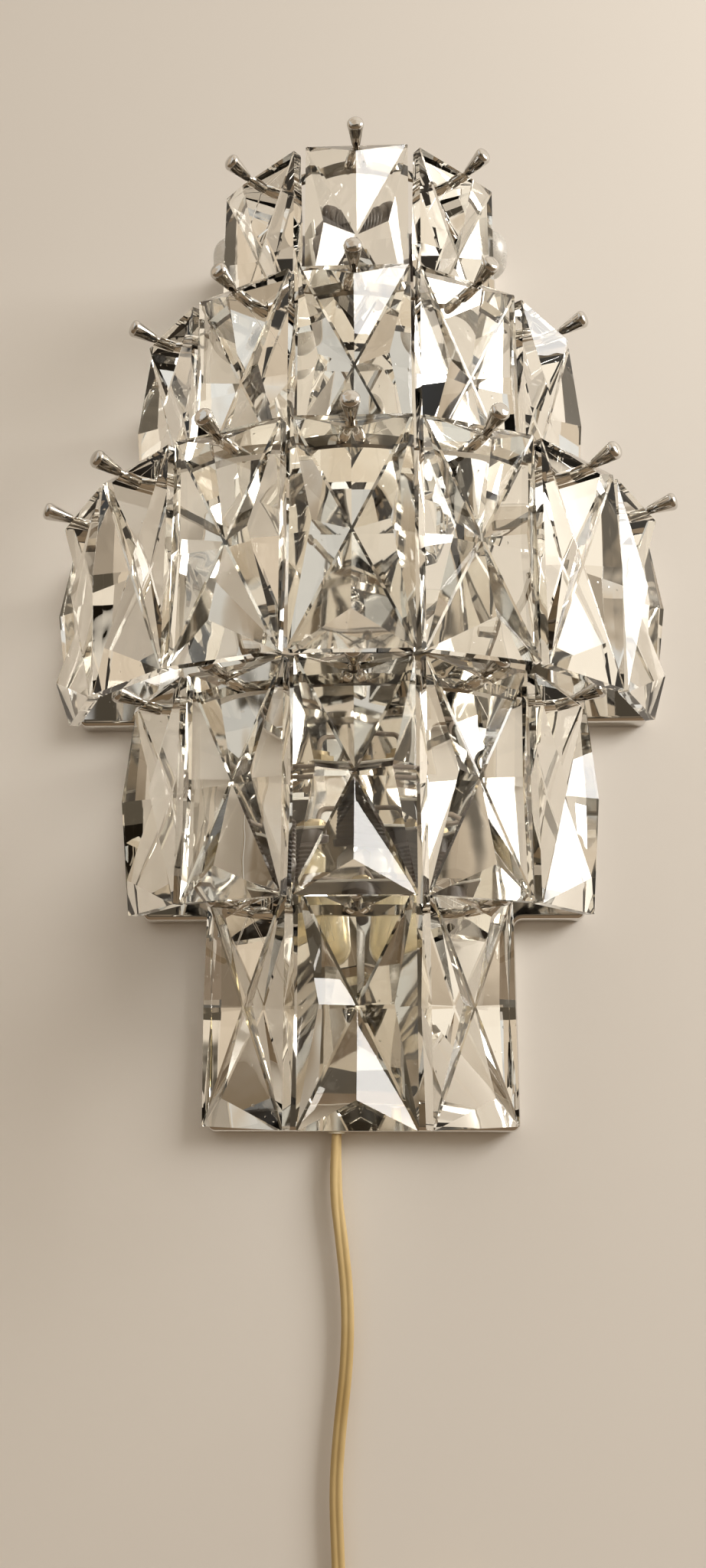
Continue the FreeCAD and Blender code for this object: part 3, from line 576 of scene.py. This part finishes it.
def lamp_place(name):
    """The seat of a lamp holder, and the turn that points its +Y to the lamp's tip."""
    low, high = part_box(f"holder_{name}")
    middle = (Vector(low) + Vector(high)) / 2
    if name.startswith("low"):
        return Matrix.Translation((middle.x, middle.y, high[2])) @ turned(-QUARTER_TURN, "X")
    side = -1.0 if name.endswith("left") else 1.0
    seat = high[0] if side < 0 else low[0]
    return Matrix.Translation((seat, middle.y, middle.z)) @ turned(-QUARTER_TURN * side, "Z")


LAMP_PLACES = {name: lamp_place(name) for name in LAMP_NAMES}


def holder_profile():
    """A neck, a ribbed barrel and a lip round the lamp's bore."""
    neck = [(0.0, 0.0), (9.2, 0.0), (9.5, 0.4), (9.5, 7.0), (11.6, 9.0)]
    ribs = [(HOLDER_RADIUS - RIB_DEPTH * (rib % 2), RIB_START + rib) for rib in range(RIB_COUNT)]
    barrel = [(HOLDER_RADIUS, 28.6), (HOLDER_RADIUS, 29.8)]
    lip = [(13.0, 30.2), (13.2, 30.6), (13.2, 33.4), (12.9, HOLDER_LENGTH)]
    mouth = [(HOLDER_BORE + 0.3, HOLDER_LENGTH), (HOLDER_BORE, 33.6)]
    floor = [(HOLDER_BORE, BORE_FLOOR), (0.0, BORE_FLOOR)]
    return scaled(neck + ribs + barrel + lip + mouth + floor)


def bulb_profile():
    """Outer and inner skins of the blown tube, closed round the neck."""
    neck = [(6.6, BULB_NECK), (6.6, 34.4), (7.4, 35.6), (9.8, 37.9), (11.4, 39.6), (12.0, 41.6)]
    shoulder = arc_points(centre=(63.0, 3.0), radius=9.0, start=QUARTER_TURN, end=0.0, steps=10)
    tip = [(3.0, BULB_END), (0.0, BULB_END)]
    outer = neck + [(radius, station) for station, radius in shoulder[:-1]] + tip
    inner = []
    for radius, station in outer:
        lower = BULB_WALL if station > BULB_SHOULDER else 0.0
        inner.append((max(0.0, radius - BULB_WALL), station - lower))
    return scaled(outer), scaled(inner)


def lamps():
    outer, inner = bulb_profile()
    skin = outer + inner[::-1] + outer[:1]
    for name, place in LAMP_PLACES.items():
        slot = "amber_lamp_glass" if name == "low_middle" else "clear_lamp_glass"
        bulb = bmesh.new()
        lathe(bulb, skin, place, steps=48)
        bmesh.ops.remove_doubles(bulb, verts=bulb.verts, dist=SAME_PLACE)
        finished(bulb, f"bulb_{name}", slot, [f"lamp_{name}"], sharp=60)
        socket = bmesh.new()
        lathe(socket, holder_profile(), place, steps=48)
        finished(socket, f"socket_{name}", "holder_plastic", [f"holder_{name}"], sharp=28)


# The filament and its supports, in millimetres: how far across, and stations along the axis.
SUPPORT_FOOT = (1.2, 47.5)
MIDDLE_SUPPORT = (48.8, 61.5)
FILAMENT_REACH = 4.2
FILAMENT_LEVEL = 60.0
FILAMENT_SAG = 1.4
FILAMENT_WINDING = 0.5
FILAMENT_STEPS = 18


def filament_point(step):
    """A point of the filament, which sags between its supports and winds as it goes."""
    share = step / FILAMENT_STEPS
    across = FILAMENT_REACH * (2 * share - 1)
    station = FILAMENT_LEVEL + FILAMENT_SAG * math.sin(math.pi * share)
    aside = FILAMENT_WINDING * math.sin(step * math.pi / 2)
    return Vector((across, station, aside)) * MM


def filament(wires, place):
    """Two side supports, a middle one and the filament on them."""
    foot_reach, foot_level = SUPPORT_FOOT
    for side in (-1.0, 1.0):
        foot = Vector((side * foot_reach, foot_level, 0.0)) * MM
        tip = Vector((side * FILAMENT_REACH, FILAMENT_LEVEL, 0.0)) * MM
        rod(wires, place @ foot, place @ tip, radius=0.22 * MM)
    start, end = (place @ (Vector((0.0, station, 0.0)) * MM) for station in MIDDLE_SUPPORT)
    rod(wires, start, end, radius=0.16 * MM)
    for step in range(FILAMENT_STEPS):
        start, end = (place @ filament_point(step + ahead) for ahead in (0, 1))
        rod(wires, start, end, radius=0.12 * MM, steps=6)


def lamp_insides():
    """Glass mount, support wires and filament in each lamp."""
    mounts, wires = bmesh.new(), bmesh.new()
    stem = [(0.0, 33.4), (5.2, 33.4), (3.4, 38.0), (1.8, 42.0), (1.6, 47.0), (2.2, 48.5), (0.0, 49.2)]
    for place in LAMP_PLACES.values():
        lathe(mounts, scaled(stem), place, steps=20)
        filament(wires, place)
    finished(mounts, "lamp_mounts", "clear_lamp_glass", sharp=50)
    finished(wires, "lamp_filaments", "cap_metal", look="lamp_wire", sharp=60)


def cap_profile():
    """A contact, an insulated end and a rolled screw cap."""
    contact = [(0.0, BORE_FLOOR), (2.6, BORE_FLOOR), (3.0, 12.4), (3.4, 13.6), (6.2, 16.2)]
    thread = screw_profile(CAP_RADIUS, start=17.0, end=31.0, pitch=3.5, depth=0.7)
    rim = [(CAP_RADIUS, 31.6), (CAP_RADIUS, CAP_END), (0.0, CAP_END)]
    return scaled(contact + thread + rim)


def lamp_caps():
    caps, shells = bmesh.new(), bmesh.new()
    outside = [(HOLDER_BORE, BORE_FLOOR), (HOLDER_BORE, CAP_END)]
    inside = [(SHELL_RADIUS, CAP_END), (SHELL_RADIUS, BORE_FLOOR)]
    shell = scaled([inside[-1], *outside, *inside])
    for place in LAMP_PLACES.values():
        lathe(caps, cap_profile(), place, steps=36)
        lathe(shells, shell, place, steps=36)
    bmesh.ops.remove_doubles(shells, verts=shells.verts, dist=SAME_PLACE)
    finished(caps, "threaded_caps", "cap_metal", ["lamp_caps"], sharp=50)
    finished(shells, "brass_shells", "shell_brass", ["holder_shells"], sharp=50)


# The mains flex, its coil and its plug.

# The hanging stretch, in millimetres.
FLEX_ROUTE = (
    (-12.5, -4.5, -237.8),
    (-13.6, -4.4, -261.0),
    (-9.9, -4.2, -287.0),
    (-7.1, -4.0, -313.0),
    (-7.6, -3.9, -339.0),
    (-10.8, -3.8, -365.0),
    (-12.8, -3.6, -391.0),
    (-11.5, -3.4, -417.0),
    (-10.6, -3.2, -441.0),
    (-10.5, -3.1, -461.8),
)

# How many degrees the flat side has turned from facing the viewer, at levels in millimetres.
FLEX_TWISTS = (
    (-236.0, 68.0),
    (-262.0, 30.0),
    (-290.0, 4.0),
    (-372.0, -6.0),
    (-415.0, 0.0),
    (-455.0, 55.0),
    (-470.0, 90.0),
)
FLEX_WIDE = 6.0 * MM
FLEX_THICK = 3.6 * MM
WEB_HALF_ANGLE = 55.0
CORE_STEPS = 14
COIL_TURNS = 3
COIL_STEPS = 16
COIL_STEP_OUT = 0.25
COIL_CLIMB = 0.5


def coil_route():
    """Three turns inwards against the wall, a step out, and three turns outwards in front."""
    low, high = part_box("flex_coil")
    centre = (Vector(low) + Vector(high)) / 2
    outermost = (high[0] - low[0] - FLEX_WIDE) / 2
    most_inwards = COIL_TURNS - COIL_STEP_OUT
    points = []
    for step in range(1, COIL_TURNS * 2 * COIL_STEPS + 1):
        turns = step / COIL_STEPS
        inwards = min(turns, COIL_TURNS * 2 - turns, most_inwards)
        radius = outermost - FLEX_WIDE * inwards
        climb = min(1.0, max(0.0, (turns - most_inwards) / COIL_CLIMB))
        away = -FLEX_WIDE * (climb + 1 / 2)
        angle = math.pi + math.tau * turns
        points.append((centre.x + radius * math.cos(angle), away, centre.z + radius * math.sin(angle)))
    return points


def spline_points(name, points):
    """The smooth line of a route, read from its NURBS spline."""
    curve = bpy.data.curves.new(name, "CURVE")
    curve.dimensions = "3D"
    curve.resolution_u = 8
    spline = curve.splines.new("NURBS")
    spline.points.add(len(points) - 1)
    for target, point in zip(spline.points, points):
        target.co = (*point, 1.0)
    spline.order_u = 3
    spline.use_endpoint_u = True
    holder = bpy.data.objects.new(name, curve)
    mesh = bpy.data.meshes.new_from_object(holder)
    line = [vertex.co.copy() for vertex in mesh.vertices]
    bpy.data.objects.remove(holder)
    bpy.data.meshes.remove(mesh)
    bpy.data.curves.remove(curve)
    return line


def flex_section():
    """Two round cores side by side, joined by a thin web, in the section's own plane."""
    radius = FLEX_THICK / 2
    offset = FLEX_WIDE / 2 - radius
    reach = 180.0 - WEB_HALF_ANGLE
    right = arc_points((offset, 0.0), radius, -reach, reach, CORE_STEPS)
    left = arc_points((-offset, 0.0), radius, WEB_HALF_ANGLE, 360.0 - WEB_HALF_ANGLE, CORE_STEPS)
    return right + left


def smooth(share):
    """A share from 0 to 1, eased at both ends."""
    share = min(1.0, max(0.0, share))
    return share * share * (3 - 2 * share)


def flex_twist(level):
    """The turn of the flat side at a level of the hanging stretch, eased from mark to mark."""
    for (top, start), (bottom, end) in zip(FLEX_TWISTS, FLEX_TWISTS[1:]):
        if level >= bottom * MM:
            share = (top * MM - level) / ((top - bottom) * MM)
            return math.radians(start + (end - start) * smooth(share))
    return math.radians(end)


def flex_row(shape, section, line, index, turn):
    """The flex's section at one point of its line."""
    point = line[index]
    along = (line[min(index + 1, len(line) - 1)] - line[max(index - 1, 0)]).normalized()
    across = along.cross(Vector((0, -1, 0))).normalized()
    outward = across.cross(along).normalized()
    wide = across * math.cos(turn) + outward * math.sin(turn)
    thick = outward * math.cos(turn) - across * math.sin(turn)
    return ring_of(shape, [point + wide * x + thick * y for x, y in section])


def flex():
    """The flat twin flex from the plate to its plug, as one cord."""
    route = [Vector(point) * MM for point in FLEX_ROUTE]
    line = spline_points("flex_route", [*route, *map(Vector, coil_route())])
    section = flex_section()
    coiled_from = next(index for index, point in enumerate(line) if point.z <= route[-1].z)
    shape = bmesh.new()
    rows = []
    for index, point in enumerate(line):
        turn = flex_twist(point.z) if index < coiled_from else math.radians(QUARTER_TURN)
        rows.append(flex_row(shape, section, line, index, turn))
    swept(shape, rows)
    piece = finished(shape, "flat_flex", "flex_ivory", ["mains_flex", "flex_coil"], sharp=70)
    pieces = [plug(), plug_pins()]


# The plug's relief in millimetres. Its rib is (rise, station) pairs from the rib's own crest.
RELIEF_RIBS = 7
RELIEF_PITCH = 3.0
RELIEF_TAPER = 0.28
RELIEF_RIB = ((0.0, 0.0), (0.0, 1.9), (-0.9, 2.1), (-0.9, 2.9))


def relief_profile():
    """A tapered row of ribs, where the flex enters the plug."""
    foot, sunk, tip, end = 5.0, -2.0, 3.2, 21.4
    ribs = []
    for rib in range(RELIEF_RIBS):
        crest, start = foot - rib * RELIEF_TAPER, rib * RELIEF_PITCH
        ribs += [(crest + rise, start + station) for rise, station in RELIEF_RIB]
    return scaled([(0.0, sunk), (foot, sunk), *ribs, (tip, end), (0.0, end)])


def plug():
    """A flat two-pin plug body with a ribbed relief."""
    relief_length, relief_seat = 22.0 * MM, 0.5 * MM
    low, high = (Vector(corner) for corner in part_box("plug_body"))
    across, away = (low.x + high.x) / 2, (low.y + high.y) / 2
    top = high.z - relief_length
    size = (high.x - low.x, high.y - low.y, top - low.z)
    middle = Matrix.Translation((across, away, (top + low.z) / 2)) @ Matrix.Diagonal((*size, 1.0))
    shape = bmesh.new()
    bmesh.ops.create_cube(shape, size=1.0, matrix=middle)
    eased(shape, width=4.2 * MM, segments=4)
    upward = Matrix.Translation((across, away, top + relief_seat)) @ turned(QUARTER_TURN, "X")
    lathe(shape, relief_profile(), upward, steps=28)
    return finished(shape, "moulded_plug", "plug_ivory", ["plug_body"], sharp=35)


def plug_pins():
    """Two round pins with rounded ends."""
    low, high = (Vector(corner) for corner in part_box("plug_pins"))
    radius, away = (high.y - low.y) / 2, (high.y + low.y) / 2
    sunk = -0.5 * MM
    tip = scaled([(2.0, 17.4), (1.7, 18.5), (1.0, 19.0), (0.0, 19.0)])
    shape = bmesh.new()
    for across in (low.x + radius, high.x - radius):
        place = Matrix.Translation((across, away, high.z)) @ turned(-QUARTER_TURN, "X")
        lathe(shape, [(0.0, sunk), (radius, sunk), *tip], place, steps=24)
    return finished(shape, "turned_pins", "nipple_brass", ["plug_pins"], sharp=50)


# CAD nodes that are shown as they are.

SHEET_NODES = ("lower_lamp_bracket", "upper_lamp_bracket", "wall_bar", "terminal_block")


def dress_solids():
    """Gives the solids their materials and eases the edges of sheets and of the block."""
    slots = {entry["node"]: entry["material_slot"] for entry in frame["record"]["subparts"]}
    for name, node in NODES.items():
        node.data.materials.clear()
        node.data.materials.append(LOOKS[slots[name]])
    for name in SHEET_NODES:
        ease_solid(NODES[name], 0.3 * MM, limit=40.0)


# The room: wall, floor, light, surroundings and camera.

WALL_TONE = (0.785, 0.745, 0.69)
FLOOR_TONE = (0.22, 0.165, 0.11)
WALL_FACE = 0.6 * MM
ROOM_HALF = 3.0
ROOM_DEPTH = 4.0
FLOOR_LEVEL = -1.4
CEILING_LEVEL = 2.0

WINDOW_PLACE = (1.45, -0.75, 0.7)
WINDOW_SIZE = 0.8
WINDOW_POWER = 27.5
WINDOW_TONE = (1.0, 0.975, 0.94)

# Each layer of the room: its tone, the way it lies, and where it starts and is full along that
# way. Beige lies above, bright up on the right, pale in front on the left and shade in front.
ROOM_LAYERS = {
    "beige": ((0.69, 0.568, 0.432), (0.20, 0.1, 0.95), -0.42, 0.12),
    "bright": ((1.02, 0.915, 0.775), (0.55, -0.15, 0.75), 0.40, 0.85),
    "pale": ((0.84, 0.83, 0.80), (-0.55, -0.75, 0.35), 0.84, 0.97),
    "shade": ((0.085, 0.07, 0.05), (-0.1, -0.98, -0.10), 0.85, 0.92),
}
ROOM_BELOW = (0.17, 0.12, 0.07)
ROOM_BREAK = 1.3
CLOUD_SCALE = 3.1
CLOUD_DETAIL = 3.0

# The viewpoint in metres and radians, and the lens in pixels of the whole picture.
EYE = (0.0159, -0.5963, -0.2048)
EYE_RISE = 0.227
EYE_TURN = 0.035
SENSOR_TALL = 36.0
LENS_PIXELS = 1570.0
PICTURE_TALL = 2048.0


def stage_plane(name, corners, tone):
    look = Look(name, Base_Color=colour(*tone), Roughness=0.9)
    mesh = bpy.data.meshes.new(name)
    mesh.from_pydata(corners, [], [tuple(range(len(corners)))])
    mesh.materials.append(look.material)
    plane = bpy.data.objects.new(name, mesh)
    bpy.context.scene.collection.objects.link(plane)


def window_light():
    """One soft square light, high on the right, that faces the fixture."""
    light = bpy.data.lights.new("window", "AREA")
    light.shape = "RECTANGLE"
    light.size = WINDOW_SIZE
    light.size_y = WINDOW_SIZE
    light.energy = WINDOW_POWER
    light.color = WINDOW_TONE
    lamp = bpy.data.objects.new("window", light)
    lamp.location = WINDOW_PLACE
    lamp.rotation_euler = (-Vector(WINDOW_PLACE)).to_track_quat("-Z", "Y").to_euler()
    bpy.context.scene.collection.objects.link(lamp)


def layer_share(tree, way, clouds, lean, start, end):
    """How far each direction belongs to a layer, whose edge is broken up like clouds."""
    height = add_node(tree, "ShaderNodeVectorMath", {0: way, 1: lean}, "Value", operation="DOT_PRODUCT")
    inputs = {0: clouds, 1: ROOM_BREAK, 2: height}
    broken = add_node(tree, "ShaderNodeMath", inputs, operation="MULTIPLY_ADD")
    limits = {"Value": broken, "From Min": start + ROOM_BREAK / 2, "From Max": end + ROOM_BREAK / 2}
    return add_node(tree, "ShaderNodeMapRange", limits, interpolation_type="SMOOTHSTEP")


def surroundings():
    """The room that the glass shows, from its layers: the last one lies over those before it."""
    world = bpy.data.worlds.new("room")
    world.use_nodes = True
    tree = world.node_tree
    below = tree.nodes["Background"]
    below.inputs["Color"].default_value = colour(*ROOM_BELOW)
    way = add_node(tree, "ShaderNodeTexCoord", {}, "Generated")
    texture = {"Vector": way, "Scale": CLOUD_SCALE, "Detail": CLOUD_DETAIL}
    clouds = add_node(tree, "ShaderNodeTexNoise", texture)
    shader = below.outputs[0]
    for name, (tone, lean, start, end) in ROOM_LAYERS.items():
        share = layer_share(tree, way, clouds, lean, start, end)
        light = add_node(tree, "ShaderNodeBackground", {"Color": colour(*tone)}, name=name)
        shader = add_node(tree, "ShaderNodeMixShader", {0: share, 1: shader, 2: light})
    tree.links.new(shader, tree.nodes["World Output"].inputs["Surface"])
    bpy.context.scene.world = world


def room():
    left, right = -ROOM_HALF, ROOM_HALF
    wall_foot = [(left, WALL_FACE, FLOOR_LEVEL), (right, WALL_FACE, FLOOR_LEVEL)]
    wall_head = [(right, WALL_FACE, CEILING_LEVEL), (left, WALL_FACE, CEILING_LEVEL)]
    floor_front = [(left, -ROOM_DEPTH, FLOOR_LEVEL), (right, -ROOM_DEPTH, FLOOR_LEVEL)]
    stage_plane("wall", wall_foot + wall_head, WALL_TONE)
    stage_plane("floor", floor_front + wall_foot[::-1], FLOOR_TONE)
    window_light()
    surroundings()


def camera():
    """The photograph's own viewpoint, from the fit of its crystals."""
    data = bpy.data.cameras.new("camera")
    data.sensor_fit = "VERTICAL"
    data.sensor_height = SENSOR_TALL
    data.lens = SENSOR_TALL * LENS_PIXELS / PICTURE_TALL
    data.clip_start = 0.01
    eye = bpy.data.objects.new("camera", data)
    eye.location = EYE
    eye.rotation_euler = (math.pi / 2 + EYE_RISE, 0.0, EYE_TURN)
    bpy.context.scene.collection.objects.link(eye)
    bpy.context.scene.camera = eye


dress_solids()
dress_crystals()
finials()
bands()
backplate()
lamps()
lamp_insides()
lamp_caps()
flex()
room()
camera()
bpy.context.scene.view_settings.view_transform = "Standard"
